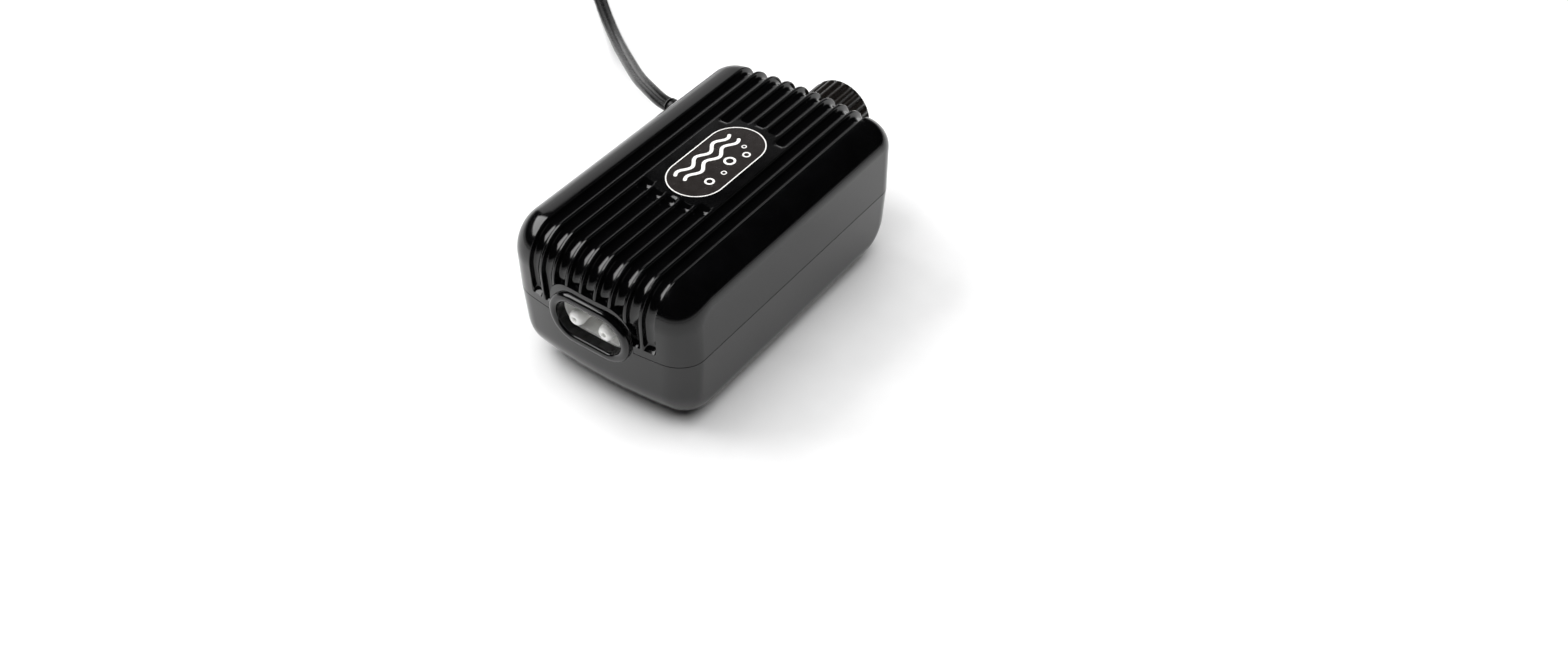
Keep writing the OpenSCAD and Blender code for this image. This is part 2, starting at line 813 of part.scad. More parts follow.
inner_cord_end();
cord_clamp();
clamp_screw();
strain_relief();
cord_lead();
cord_coil();
cord_tie();
cord_tail();
plug_body();
plug_blades();
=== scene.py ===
import math

import bmesh
import bpy
import numpy as np
from mathutils import Matrix, Vector


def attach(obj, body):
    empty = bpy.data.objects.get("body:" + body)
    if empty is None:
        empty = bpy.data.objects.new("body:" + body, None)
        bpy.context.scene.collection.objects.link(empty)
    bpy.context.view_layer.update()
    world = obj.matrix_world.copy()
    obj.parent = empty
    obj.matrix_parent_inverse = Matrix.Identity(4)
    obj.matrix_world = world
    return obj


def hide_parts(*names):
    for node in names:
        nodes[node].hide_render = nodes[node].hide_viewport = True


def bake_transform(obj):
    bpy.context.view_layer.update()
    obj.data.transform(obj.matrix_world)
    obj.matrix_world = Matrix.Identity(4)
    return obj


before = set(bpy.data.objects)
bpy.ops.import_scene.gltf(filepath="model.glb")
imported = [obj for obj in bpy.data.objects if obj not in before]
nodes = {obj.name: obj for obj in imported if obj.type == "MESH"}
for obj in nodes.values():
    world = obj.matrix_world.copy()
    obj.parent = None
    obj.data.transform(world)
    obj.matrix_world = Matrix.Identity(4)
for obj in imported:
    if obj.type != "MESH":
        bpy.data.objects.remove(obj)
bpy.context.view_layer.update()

# ---- Floor, light and camera ----
# A plain white table top under soft boxes, with a low pale wall all round and a dark room above it:
# the glossy black sides mirror the white table, and the top mirrors the dark.
mm = 0.001


def shader(name, **settings):
    """A new material's nodes, its links and its principled shader with plain settings."""
    material = bpy.data.materials.new(name)
    material.use_nodes = True
    tree = material.node_tree
    principled = tree.nodes["Principled BSDF"]
    for socket, value in settings.items():
        principled.inputs[socket.replace("_", " ")].default_value = value
    return material, tree, principled


def pattern(tree, texture, scale, **settings):
    """A texture on the piece's own coordinates; scale is in repeats a metre."""
    place = tree.nodes.new("ShaderNodeTexCoord")
    sized = tree.nodes.new("ShaderNodeMapping")
    sized.inputs["Scale"].default_value = scale if hasattr(scale, "__len__") else (scale,) * 3
    node = tree.nodes.new(texture)
    tree.links.new(place.outputs["Object"], sized.inputs["Vector"])
    tree.links.new(sized.outputs["Vector"], node.inputs["Vector"])
    for socket, value in settings.items():
        node.inputs[socket].default_value = value
    return node


def spread(tree, value, low, high, socket):
    """Sends a 0 to 1 pattern to a shader's socket as a number between low and high."""
    between = tree.nodes.new("ShaderNodeMapRange")
    between.inputs["From Min"].default_value = 0.3
    between.inputs["From Max"].default_value = 0.7
    between.inputs["To Min"].default_value = low
    between.inputs["To Max"].default_value = high
    tree.links.new(value, between.inputs["Value"])
    tree.links.new(between.outputs["Result"], socket)


def two_tone(tree, value, first, second, socket):
    """Sends a pattern to a colour socket as a ramp from the first colour to the second."""
    ramp = tree.nodes.new("ShaderNodeValToRGB")
    ramp.color_ramp.elements[0].position = 0.3
    ramp.color_ramp.elements[1].position = 0.7
    ramp.color_ramp.elements[0].color = (*first, 1)
    ramp.color_ramp.elements[1].color = (*second, 1)
    tree.links.new(value, ramp.inputs["Fac"])
    tree.links.new(ramp.outputs["Color"], socket)


def relief(tree, principled, height, depth):
    """Raises the surface by a pattern, depth metres at most."""
    bump = tree.nodes.new("ShaderNodeBump")
    bump.inputs["Strength"].default_value = 1.0
    bump.inputs["Distance"].default_value = depth
    tree.links.new(height, bump.inputs["Height"])
    tree.links.new(bump.outputs["Normal"], principled.inputs["Normal"])


def finish(name, first, second, roughness, cloud=60, grain=1500, depth=0.00001, **settings):
    """A finish with a slow drift of colour and gloss, and a fine grain in its surface."""
    material, tree, principled = shader(name, **settings)
    drift = pattern(tree, "ShaderNodeTexNoise", cloud, Detail=3)
    two_tone(tree, drift.outputs["Fac"], first, second, principled.inputs["Base Color"])
    spread(tree, drift.outputs["Fac"], *roughness, principled.inputs["Roughness"])
    fine = pattern(tree, "ShaderNodeTexNoise", grain, Detail=4)
    relief(tree, principled, fine.outputs["Fac"], depth)
    return material


def new_piece(name, mesh, *materials):
    """A new object at the origin that shows the mesh."""
    piece = bpy.data.objects.new(name, mesh)
    bpy.context.scene.collection.objects.link(piece)
    for material in materials:
        mesh.materials.append(material)
    return piece


table_half = 3.0
table_mesh = bpy.data.meshes.new("table_top")
table_corners = [(-table_half, -table_half, 0), (table_half, -table_half, 0),
                 (table_half, table_half, 0), (-table_half, table_half, 0)]
table_mesh.from_pydata(table_corners, [], [(0, 1, 2, 3)])
table_finish = finish("white_table", (0.86, 0.86, 0.86), (0.9, 0.9, 0.9), (0.7, 0.8), 8, 300)
table_top = new_piece("table_top", table_mesh, table_finish)

world = bpy.data.worlds.new("dark_room")
world.use_nodes = True
wall_height = world.node_tree.nodes.new("ShaderNodeSeparateXYZ")
direction = world.node_tree.nodes.new("ShaderNodeTexCoord")
world.node_tree.links.new(direction.outputs["Generated"], wall_height.inputs["Vector"])
fade = world.node_tree.nodes.new("ShaderNodeValToRGB")
fade.color_ramp.interpolation = "EASE"
wall_end, dark_end = fade.color_ramp.elements
wall_end.position, wall_end.color = 0.02, (0.8, 0.8, 0.8, 1)
dark_end.position, dark_end.color = 0.14, (0.008, 0.008, 0.009, 1)
world.node_tree.links.new(wall_height.outputs["Z"], fade.inputs["Fac"])
world.node_tree.links.new(fade.outputs["Color"], world.node_tree.nodes["Background"].inputs["Color"])
bpy.context.scene.world = world
bpy.context.scene.view_settings.view_transform = "Standard"


def soft_box(name, place, aim, size, power, mirrored=True):
    """A soft light at a place, turned to its aim. One that isn't mirrored leaves no highlight."""
    light = bpy.data.lights.new(name, "AREA")
    light.shape = "RECTANGLE"
    light.size, light.size_y = size
    light.energy = power
    box = bpy.data.objects.new(name, light)
    box.location = place
    box.rotation_euler = (Vector(aim) - Vector(place)).to_track_quat("-Z", "Y").to_euler()
    box.visible_glossy = mirrored
    bpy.context.scene.collection.objects.link(box)


soft_box("overhead", (0.1, 0.1, 1.6), (0, 0, 0), (2.4, 2.4), 44, mirrored=False)
soft_box("left", (-0.78, -0.2, 0.84), (0, -0.06, 0.05), (0.9, 0.62), 10)
soft_box("left_rear", (-0.85, 0.8, 0.42), (0, 0, 0.05), (0.9, 0.78), 1.7)

# The camera stands above the front right corner and looks down along the pump.
camera_place = (0.24794, -0.31194, 0.35747)
azimuth, elevation, roll = (math.radians(a) for a in (35.632, 43.749, 0.109))
level_part = math.cos(elevation)
back = Vector((math.sin(azimuth) * level_part, -math.cos(azimuth) * level_part, math.sin(elevation)))
level = Vector((math.cos(azimuth), math.sin(azimuth), 0))
right = math.cos(roll) * level + math.sin(roll) * back.cross(level)
up = back.cross(right)
camera = bpy.data.objects.new("camera", bpy.data.cameras.new("camera"))
camera.data.lens = 35.32
camera.data.sensor_width = 36
camera.data.clip_start = 0.01
camera.matrix_world = Matrix.Translation(camera_place) @ Matrix((right, up, back)).transposed().to_4x4()
bpy.context.scene.collection.objects.link(camera)
bpy.context.scene.camera = camera

# ---- Casing ----
# Two glossy black shells of moulded ABS that meet at a level seam, a little above half height. The
# lower one draws in towards its floor and sends an arch up into the front of the upper one. Four
# screws from below hold them together.
black_plastic = finish("polished_black_plastic", (0.0009, 0.0009, 0.001), (0.0016, 0.0016, 0.0018),
                       (0.1, 0.15), 25, 900, 0.000004, IOR=1.47)

half_w = 36 * mm
front_y, rear_y = -68.5 * mm, 52.5 * mm
mid_y = (front_y + rear_y) / 2
base_z, seam_z, top_z = 2.5 * mm, 28.75 * mm, 54.5 * mm
front_top_r, rear_top_r, floor_bend_r = 13 * mm, 8.9 * mm, 13 * mm
shoulder_w, shoulder_d = 10.5 * mm, 7.3 * mm
upright_w, upright_d = 9 * mm, 7.6 * mm
floor_edge_r = 6 * mm
bow_r = 190 * mm
draft = 2 * mm
wall, ribbed_wall = 2.4 * mm, 5.4 * mm
seam_gap = 0.14 * mm

rib_pitch = 5.65 * mm
channel_depth = 2.3 * mm
channel_low_z = 32.3 * mm
plateau_front_y, plateau_rear_y = -26.5 * mm, 20.5 * mm


def run(start, end, step):
    """Even places from start up to, but without, the end."""
    return np.linspace(start, end, max(2, round(abs(end - start) / step)) + 1)[:-1]


def side_outline(end_inset, top_inset, floor_inset, step):
    """The casing from the side, from the front seam over the top and back under it.

    Each point is (y, z, outward y, outward z); its seam row is the one at the rear seam.
    """
    front, rear = front_y + end_inset, rear_y - end_inset
    top, floor = top_z - top_inset, base_z + floor_inset
    shrink = min(end_inset, top_inset)
    front_r, rear_r, low_r = front_top_r - shrink, rear_top_r - shrink, floor_bend_r - floor_inset
    bend_steps, low_step, floor_step = 18, 2 * mm, 6 * mm

    def bend(y, z, r, start):
        turn = [math.radians(start - 90 * k / bend_steps) for k in range(bend_steps)]
        return [(y + r * math.cos(a), z + r * math.sin(a), math.cos(a), math.sin(a)) for a in turn]

    outline = [(front, z, -1, 0) for z in run(seam_z, top - front_r, step)]
    outline += bend(front + front_r, top - front_r, front_r, 180)
    outline += [(y, top, 0, 1) for y in run(front + front_r, rear - rear_r, step)]
    outline += bend(rear - rear_r, top - rear_r, rear_r, 90)
    outline += [(rear, z, 1, 0) for z in run(top - rear_r, seam_z, step)]
    seam_row = len(outline)
    outline += [(rear, z, 1, 0) for z in run(seam_z, floor + low_r, low_step)]
    outline += bend(rear - low_r, floor + low_r, low_r, 0)
    outline += [(y, floor, 0, -1) for y in run(rear - low_r, front + low_r, floor_step)]
    outline += bend(front + low_r, floor + low_r, low_r, -90)
    outline += [(front, z, -1, 0) for z in run(floor + low_r, seam_z, low_step)]
    return outline, seam_row


inner_edge_r = 2.5 * mm


def casing_form(name, side_inset=0.0, end_inset=0.0, top_inset=0.0, floor_inset=0.0, step=2 * mm,
                across=(0,), carve=None):
    """A closed form of the casing's shape, or of the room inside it where it is inset.

    Rows follow the side outline, columns run across at the given places, and carve sinks them.
    """
    outline, seam_row = side_outline(end_inset, top_inset, floor_inset, step)
    round_steps = 12
    flat_half = (rear_y - front_y) / 2 - front_top_r
    hollow = side_inset > 0
    vertices = []
    travelled = 0
    for row, (y, z, out_y, out_z) in enumerate(outline):
        if row:
            travelled += math.hypot(y - outline[row - 1][0], z - outline[row - 1][1])
        edge_w, edge_d = (shoulder_w, shoulder_d) if out_z > 0 else (floor_edge_r, floor_edge_r)
        round_w = upright_w * out_y ** 2 + edge_w * out_z ** 2
        round_d = upright_d * out_y ** 2 + edge_d * out_z ** 2
        if hollow:
            round_w = round_d = inner_edge_r
        sway = max(-1, min(1, (mid_y - y) / flat_half))

        def width_at(height):
            return half_w - side_inset - draft * max(0, seam_z - height) / (seam_z - base_z)

        def point(x, sunk):
            return (x, y - out_y * sunk + sway * x * x / (2 * bow_r), z - out_z * sunk)

        edge = []
        for step_no in range(1, round_steps + 1):
            turn = math.radians(90 * step_no / round_steps)
            sunk = round_d * (1 - math.cos(turn))
            edge.append((width_at(z - out_z * sunk) - round_w * (1 - math.sin(turn)), sunk))
        rim = round_d + 0.3 * mm  # a narrow band past the rounding keeps the sides flat
        edge.append((width_at(z - out_z * rim), rim))
        flat_end = width_at(z) - round_w
        line = [(-x, sunk) for x, sunk in reversed(edge)] + [(-flat_end, 0)]
        line += [(x, carve(x, travelled) if carve else 0) for x in across]
        line += [(flat_end, 0)] + edge
        vertices += [point(x, sunk) for x, sunk in line]
    columns = len(line)
    rows = len(outline)
    faces = []
    for row in range(rows):
        near, far = row * columns, (row + 1) % rows * columns
        faces += [(near + k, near + k + 1, far + k + 1, far + k) for k in range(columns - 1)]
    over = list(range(0, seam_row + 1))
    under = list(range(seam_row, rows)) + [0]
    for path in (over, under):
        faces.append(tuple(row * columns for row in path))
        faces.append(tuple(row * columns + columns - 1 for row in reversed(path)))
    mesh = bpy.data.meshes.new(name)
    mesh.from_pydata(vertices, [], faces)
    face_outwards(mesh)
    return new_piece(name, mesh)


def coat(piece, material):
    """Gives the whole piece one finish."""
    piece.data.materials.clear()
    piece.data.materials.append(material)
    piece.data.polygons.foreach_set("material_index", [0] * len(piece.data.polygons))


def face_outwards(mesh, smooth_below=40):
    """Points every face outwards and shades it smoothly, apart from edges sharper than the angle."""
    shape = bmesh.new()
    shape.from_mesh(mesh)
    bmesh.ops.remove_doubles(shape, verts=shape.verts, dist=1e-7)
    bmesh.ops.recalc_face_normals(shape, faces=shape.faces)
    shape.to_mesh(mesh)
    shape.free()
    mesh.shade_smooth()
    mesh.set_sharp_from_angle(angle=math.radians(smooth_below))


def stadium(width, height, centre=(0, 0), steps=24):
    """An outline with two straight sides and two round ends, along the longer direction."""
    r = min(width, height) / 2
    shift = (abs(width - height) / 2, 0) if width >= height else (0, abs(width - height) / 2)
    first = -90 if width >= height else 0
    points = []
    for end, start in ((1, first), (-1, first + 180)):
        for k in range(steps + 1):
            angle = math.radians(start + 180 * k / steps)
            points.append((centre[0] + end * shift[0] + r * math.cos(angle),
                           centre[1] + end * shift[1] + r * math.sin(angle)))
    return points


def disc(r, centre, steps=32):
    """A round outline."""
    turns = [2 * math.pi * k / steps for k in range(steps)]
    return [(centre[0] + r * math.cos(a), centre[1] + r * math.sin(a)) for a in turns]


def box_outline(low, high):
    """A rectangle between two corners."""
    return [low, (high[0], low[1]), high, (low[0], high[1])]


def prism(name, outline, start, end, axis="Z"):
    """A closed bar with that outline, from start to end along the axis."""
    turn = {"Z": lambda u, v, w: (u, v, w),
            "Y": lambda u, v, w: (u, w, v),
            "X": lambda u, v, w: (w, u, v)}[axis]
    count = len(outline)
    vertices = [turn(u, v, w) for w in (start, end) for u, v in outline]
    faces = [tuple(range(count)), tuple(reversed(range(count, 2 * count)))]
    faces += [(k, k + count, (k + 1) % count + count, (k + 1) % count) for k in range(count)]
    mesh = bpy.data.meshes.new(name)
    mesh.from_pydata(vertices, [], faces)
    face_outwards(mesh)
    return new_piece(name, mesh)


def plain_mesh(piece, name):
    """The piece as its modifiers leave it, as one plain mesh."""
    depsgraph = bpy.context.evaluated_depsgraph_get()
    mesh = bpy.data.meshes.new_from_object(piece.evaluated_get(depsgraph))
    mesh.name = name
    piece.modifiers.clear()
    piece.data = mesh
    return mesh


def combine(piece, way, *tools):
    """Cuts the tools out of the piece or adds them to it, and deletes them."""
    for tool in tools:
        step = piece.modifiers.new(way, "BOOLEAN")
        step.operation = way
        step.solver = "MANIFOLD"
        step.object = tool
        plain_mesh(piece, piece.name)
        bpy.data.objects.remove(tool)


# the round uprights inside that take the screws, and the places of the four casing screws
post_places = [(x, y) for x in (-25 * mm, 25 * mm) for y in (mid_y - 37 * mm, mid_y + 37 * mm)]
post_r = 3.6 * mm
screw_r = 1.45 * mm
plug_hole_r = 3.3 * mm
core_posts = [(x, y) for x in (-8 * mm, 8 * mm) for y in (11 * mm, 31 * mm)]
pivot_posts = [(x, front_y + 32.5 * mm) for x in (-18 * mm, 18 * mm)]

# the arch of the lower shell in the front of the upper one
arch_half_w, arch_top_z, arch_r = 16.6 * mm, 43.5 * mm, 9 * mm


def arch_outline(gap, low_z):
    """The arch from the front, smaller by the gap, with its feet at the low height."""
    half, top, r = arch_half_w - gap, arch_top_z - gap, arch_r
    turns = [math.radians(a) for a in range(0, 91, 5)]
    points = [(-half, low_z)]
    points += [(-half + r - r * math.cos(a), top - r + r * math.sin(a)) for a in turns]
    points += [(half - r + r * math.sin(a), top - r + r * math.cos(a)) for a in turns]
    return points + [(half, low_z)]


arch_deep_y = front_y + 6 * mm
beyond = 80 * mm  # farther out than any part of the casing

# ---- Lower shell ----
# The tray that everything is screwed into. Its floor has four screw posts, a well for the air filter
# and posts for the magnet core and the rocker arms. An oval collar frames the air outlets.
outlet_z = 31.2 * mm
outlet_w, outlet_h = 26 * mm, 13.5 * mm
filter_y, filter_half = -8 * mm, 12.5 * mm
cord_exit = Vector((-half_w, 36.5 * mm, 28.5 * mm))
relief_neck_r = 3.6 * mm

few_columns = [x * mm for x in range(-24, 25, 4)]
lower_columns = [x * mm for x in np.arange(-26, 26.1, 1)]
lower_shell = casing_form("lower_shell", across=lower_columns, step=1.5 * mm)
lower_top_z = seam_z - seam_gap
above_arch = [(beyond, lower_top_z), (beyond, beyond), (-beyond, beyond), (-beyond, lower_top_z)]
combine(lower_shell, "DIFFERENCE",
        prism("room_above", box_outline((-beyond, lower_top_z), (beyond, beyond)),
              arch_deep_y - 0.1 * mm, beyond, "Y"),
        prism("room_at_front", arch_outline(seam_gap, lower_top_z) + above_arch,
              -beyond, arch_deep_y, "Y"))

# what stands up from the floor: the filter's well, the cord clamp's post and the posts for the screws
well_half, well_top_z = filter_half + wall, 9 * mm
clamp_post_r, clamp_place, clamp_top_z = 2.4 * mm, (-27 * mm, 42 * mm), 29.9 * mm
inner_post_r, core_top_z, pivot_top_z = 3.2 * mm, 17.5 * mm, 19 * mm
hollow = casing_form("lower_hollow", wall, wall, ribbed_wall, wall, across=few_columns)
combine(hollow, "DIFFERENCE",
        prism("well", box_outline((-well_half, filter_y - well_half),
                                  (well_half, filter_y + well_half)), 0, well_top_z),
        prism("clamp_post", disc(clamp_post_r, clamp_place), 0, clamp_top_z),
        *[prism("post", disc(post_r + 0.6 * mm, place), 0, seam_z + 1 * mm) for place in post_places],
        *[prism("post", disc(inner_post_r, place), 0, core_top_z) for place in core_posts],
        *[prism("post", disc(inner_post_r, place), 0, pivot_top_z) for place in pivot_posts])
combine(lower_shell, "DIFFERENCE", hollow)


def collar():
    """The oval rim round the outlets: a rounded section carried round the opening."""
    section = [(0, 3.0), (0, -0.55), (0.12, -0.95), (0.42, -1.28), (0.9, -1.47), (1.5, -1.5),
               (2.1, -1.42), (2.62, -1.15), (2.95, -0.7), (3.05, -0.1), (3.05, 3.0)]
    straight = (outlet_w - outlet_h) / 2
    steps = 28
    vertices, faces = [], []
    for side, start in ((1, -90), (-1, 90)):
        for k in range(steps + 1):
            angle = math.radians(start + 180 * k / steps)
            for out, y in section:
                r = outlet_h / 2 + out * mm
                vertices.append((side * straight + r * math.cos(angle), front_y + y * mm,
                                 outlet_z + r * math.sin(angle)))
    around, count = 2 * (steps + 1), len(section)
    for k in range(around):
        near, far = k * count, (k + 1) % around * count
        for j in range(count):
            after = (j + 1) % count
            faces.append((near + j, near + after, far + after, far + j))
    mesh = bpy.data.meshes.new("collar")
    mesh.from_pydata(vertices, [], faces)
    face_outwards(mesh)
    return new_piece("collar", mesh)


recess_z, cord_way_half = 7.5 * mm, 7 * mm
combine(lower_shell, "UNION", collar())
combine(lower_shell, "DIFFERENCE",
        prism("outlet", stadium(outlet_w, outlet_h, (0, outlet_z)),
              front_y - 5 * mm, front_y + 7 * mm, "Y"),
        prism("filter_recess", box_outline((-filter_half, filter_y - filter_half),
                                           (filter_half, filter_y + filter_half)), 0, recess_z),
        prism("cord_way", disc(relief_neck_r, cord_exit[1:]),
              -half_w - cord_way_half, -half_w + cord_way_half, "X"),
        *[prism("screw_way", disc(screw_r, place), 0, 40 * mm) for place in post_places],
        *[prism("head_way", disc(plug_hole_r, place), 0, recess_z) for place in post_places])
face_outwards(lower_shell.data)
coat(lower_shell, black_plastic)
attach(lower_shell, "housing")
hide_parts("lower_casing")

# ---- Upper shell ----
# The cover. Nine rounded channels run over its top and down both ends, and leave a smooth plateau
# for the label in the middle; they are moulded in, so the wall behind them is thicker.
side_rows, seam_row = side_outline(0, 0, 0, 0.5 * mm)
way_along = np.cumsum([0] + [math.dist(a[:2], b[:2]) for a, b in zip(side_rows, side_rows[1:])])


def way_to(y=None, z=None, front=True):
    """How far along the side outline, from the front seam, a place on the top or on an end lies."""
    half = seam_row // 2
    rows = range(0, half) if front else range(half, seam_row)

    def off_place(row):
        row_y, row_z, _, out_z = side_rows[row]
        return abs(row_z - z) if z else abs(row_y - y) + (out_z <= 0)

    return way_along[min(rows, key=off_place)]


# the middle five channels stop at the plateau, along a curve that bends round the label
front_curve, rear_curve = 52, 30
channels = []
for number in range(-4, 5):
    x = number * rib_pitch
    low, high = way_to(z=channel_low_z), way_to(z=channel_low_z, front=False)
    if abs(number) <= 2:
        stop = way_to(y=plateau_front_y + (x / mm) ** 2 / front_curve * mm)
        restart = way_to(y=plateau_rear_y - (x / mm) ** 2 / rear_curve * mm, front=False)
        channels += [(x, low, stop), (x, restart, high)]
    else:
        channels += [(x, low, high)]


channel_half, end_r, dish = 2.4, 1.9 * mm, 0.3


def channel_sunk(x, way):
    """How deep the channels are at a place: a slightly dished floor, steep walls and a round end."""
    deepest = 0
    for centre, low, high in channels:
        aside = abs(x - centre) / mm
        if aside < channel_half:
            past = max(0, low + end_r - way, way - high + end_r) / mm
            off = min(1, (aside ** 4 + past ** 4) ** 0.25 / channel_half)
            deepest = max(deepest, channel_depth * (1 - dish * off ** 2) * (1 - off ** 8) ** 1.3)
    return deepest


# the columns stand closer on the channels' walls
across_channel = (0, 0.5, 0.95, 1.3, 1.55, 1.75, 1.9, 2.02, 2.13, 2.24, 2.35, 2.48, 2.65)
both_sides = [-offset for offset in across_channel[:0:-1]] + list(across_channel)
fine_columns = [number * rib_pitch + offset * mm for number in range(-4, 5) for offset in both_sides]
fine_columns = [-4.5 * rib_pitch, *fine_columns, 4.5 * rib_pitch]
upper_shell = casing_form("upper_shell", across=fine_columns, step=0.75 * mm, carve=channel_sunk)
hollow = casing_form("upper_hollow", wall, ribbed_wall, ribbed_wall, wall, across=few_columns)
combine(hollow, "DIFFERENCE",
        *[prism("post", disc(post_r, place), seam_z - 5 * mm, beyond) for place in post_places])
label_y, label_w, label_l = -3.5 * mm, 20.6 * mm, 41 * mm
label_seat_z = top_z - 0.4 * mm
bush_r, bush_z = 3 * mm, 32.5 * mm
combine(upper_shell, "DIFFERENCE", hollow,
        prism("room_below", box_outline((-beyond, -beyond), (beyond, beyond)),
              -beyond, seam_z + seam_gap),
        prism("arch", arch_outline(0, seam_z - 4 * mm), -beyond, arch_deep_y, "Y"),
        prism("label_seat", stadium(label_w, label_l, (0, label_y)), label_seat_z, beyond),
        prism("bush_way", disc(bush_r, (0, bush_z)), rear_y - 12 * mm, rear_y + 5 * mm, "Y"),
        prism("cord_way", disc(relief_neck_r, cord_exit[1:]),
              -half_w - cord_way_half, -half_w + cord_way_half, "X"),
        *[prism("screw_way", disc(screw_r, place), seam_z - 2 * mm, seam_z + 12 * mm)
          for place in post_places])
face_outwards(upper_shell.data, 50)
coat(upper_shell, black_plastic)
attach(upper_shell, "housing")
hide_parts("upper_casing")

# ---- Rubber feet ----
# Four soft black feet, pressed into the counterbores under the casing screws. Each is a low button
# with a rounded rim and a shallow dish in its sole.


def new_tree(name, **inputs):
    """An empty Geometry Nodes tree with a geometry input and these named inputs."""
    tree = bpy.data.node_groups.new(name, "GeometryNodeTree")
    tree.interface.new_socket("Geometry", in_out="INPUT", socket_type="NodeSocketGeometry")
    for label, kind in inputs.items():
        tree.interface.new_socket(label, in_out="INPUT", socket_type="NodeSocket" + kind)
    tree.interface.new_socket("Geometry", in_out="OUTPUT", socket_type="NodeSocketGeometry")
    return tree, tree.nodes.new("NodeGroupInput"), tree.nodes.new("NodeGroupOutput")


def chain(tree, passed, given, result, *steps):
    """Links geometry through the steps, Realize Instances and Set Material to the result."""
    steps = [*steps, tree.nodes.new("GeometryNodeRealizeInstances"),
             tree.nodes.new("GeometryNodeSetMaterial")]
    tree.links.new(given.outputs["Finish"], steps[-1].inputs["Material"])
    for step in steps:
        tree.links.new(passed, next(i for i in step.inputs if i.type == "GEOMETRY"))
        passed = next(o for o in step.outputs if o.type == "GEOMETRY")
    tree.links.new(passed, result.inputs["Geometry"])


def grown(name, mesh, tree, smooth_below=40, **settings):
    """A new piece: the tree works on the mesh with these settings, and the result is one plain mesh."""
    piece = new_piece(name, mesh)
    modifier = piece.modifiers.new(tree.name, "NODES")
    modifier.node_group = tree
    for item in tree.interface.items_tree:
        if item.in_out == "INPUT" and item.name in settings:
            modifier[item.identifier] = settings[item.name]
    face_outwards(plain_mesh(piece, name), smooth_below)
    return piece


def math_node(tree, operation, *values):
    """A sum in a tree: its result, from numbers or from other nodes' results."""
    node = tree.nodes.new("ShaderNodeMath")
    node.operation = operation
    for socket, value in zip(node.inputs, values):
        if isinstance(value, (int, float)):
            socket.default_value = value
        else:
            tree.links.new(value, socket)
    return node.outputs["Value"]


place_tree, given, result = new_tree("place_a_copy_at_each_point", Piece="Object", Finish="Material")
copy_of = place_tree.nodes.new("GeometryNodeObjectInfo")
at_points = place_tree.nodes.new("GeometryNodeInstanceOnPoints")
place_tree.links.new(given.outputs["Piece"], copy_of.inputs["Object"])
place_tree.links.new(copy_of.outputs["Geometry"], at_points.inputs["Instance"])
chain(place_tree, given.outputs["Geometry"], given, result, at_points)

# The lathe carries the outline, whose X is the radius and Y the depth below, round a tiny ring and
# merges its poles. Flutes sink whatever lies farther out than From.
lathe_tree, given, result = new_tree("turn_round_an_axis", Sides="Int", Flutes="Int", Depth="Float",
                                     From="Float", Finish="Material")
ring = lathe_tree.nodes.new("GeometryNodeCurvePrimitiveCircle")
section = lathe_tree.nodes.new("GeometryNodeMeshToCurve")
sweep = lathe_tree.nodes.new("GeometryNodeCurveToMesh")
poles = lathe_tree.nodes.new("GeometryNodeMergeByDistance")
ring.inputs["Radius"].default_value = 0.00001
poles.inputs["Distance"].default_value = 0.00003
lathe_tree.links.new(given.outputs["Sides"], ring.inputs["Resolution"])
lathe_tree.links.new(given.outputs["Geometry"], section.inputs["Mesh"])
lathe_tree.links.new(ring.outputs["Curve"], sweep.inputs["Curve"])
lathe_tree.links.new(section.outputs["Curve"], sweep.inputs["Profile Curve"])

place = lathe_tree.nodes.new("GeometryNodeInputPosition")
parts = lathe_tree.nodes.new("ShaderNodeSeparateXYZ")
lathe_tree.links.new(place.outputs["Position"], parts.inputs["Vector"])
x_of, y_of = parts.outputs["X"], parts.outputs["Y"]
angle = math_node(lathe_tree, "ARCTAN2", y_of, x_of)
fluted_angle = math_node(lathe_tree, "MULTIPLY", angle, given.outputs["Flutes"])
wave = math_node(lathe_tree, "COSINE", fluted_angle)
half_wave = math_node(lathe_tree, "MULTIPLY_ADD", wave, 0.5, 0.5)
hollowed = math_node(lathe_tree, "POWER", half_wave, 1.6)
x_squared = math_node(lathe_tree, "MULTIPLY", x_of, x_of)
squares = math_node(lathe_tree, "MULTIPLY_ADD", y_of, y_of, x_squared)
radius = math_node(lathe_tree, "SQRT", squares)
outside = math_node(lathe_tree, "GREATER_THAN", radius, given.outputs["From"])
depth_here = math_node(lathe_tree, "MULTIPLY", hollowed, given.outputs["Depth"])
flute_sunk = math_node(lathe_tree, "MULTIPLY", depth_here, outside)
shrink = math_node(lathe_tree, "SUBTRACT", 1, math_node(lathe_tree, "DIVIDE", flute_sunk, radius))
moved = lathe_tree.nodes.new("ShaderNodeCombineXYZ")
lathe_tree.links.new(math_node(lathe_tree, "MULTIPLY", x_of, shrink), moved.inputs["X"])
lathe_tree.links.new(math_node(lathe_tree, "MULTIPLY", y_of, shrink), moved.inputs["Y"])
lathe_tree.links.new(parts.outputs["Z"], moved.inputs["Z"])
flute = lathe_tree.nodes.new("GeometryNodeSetPosition")
lathe_tree.links.new(moved.outputs["Vector"], flute.inputs["Position"])
chain(lathe_tree, sweep.outputs["Mesh"], given, result, poles, flute)


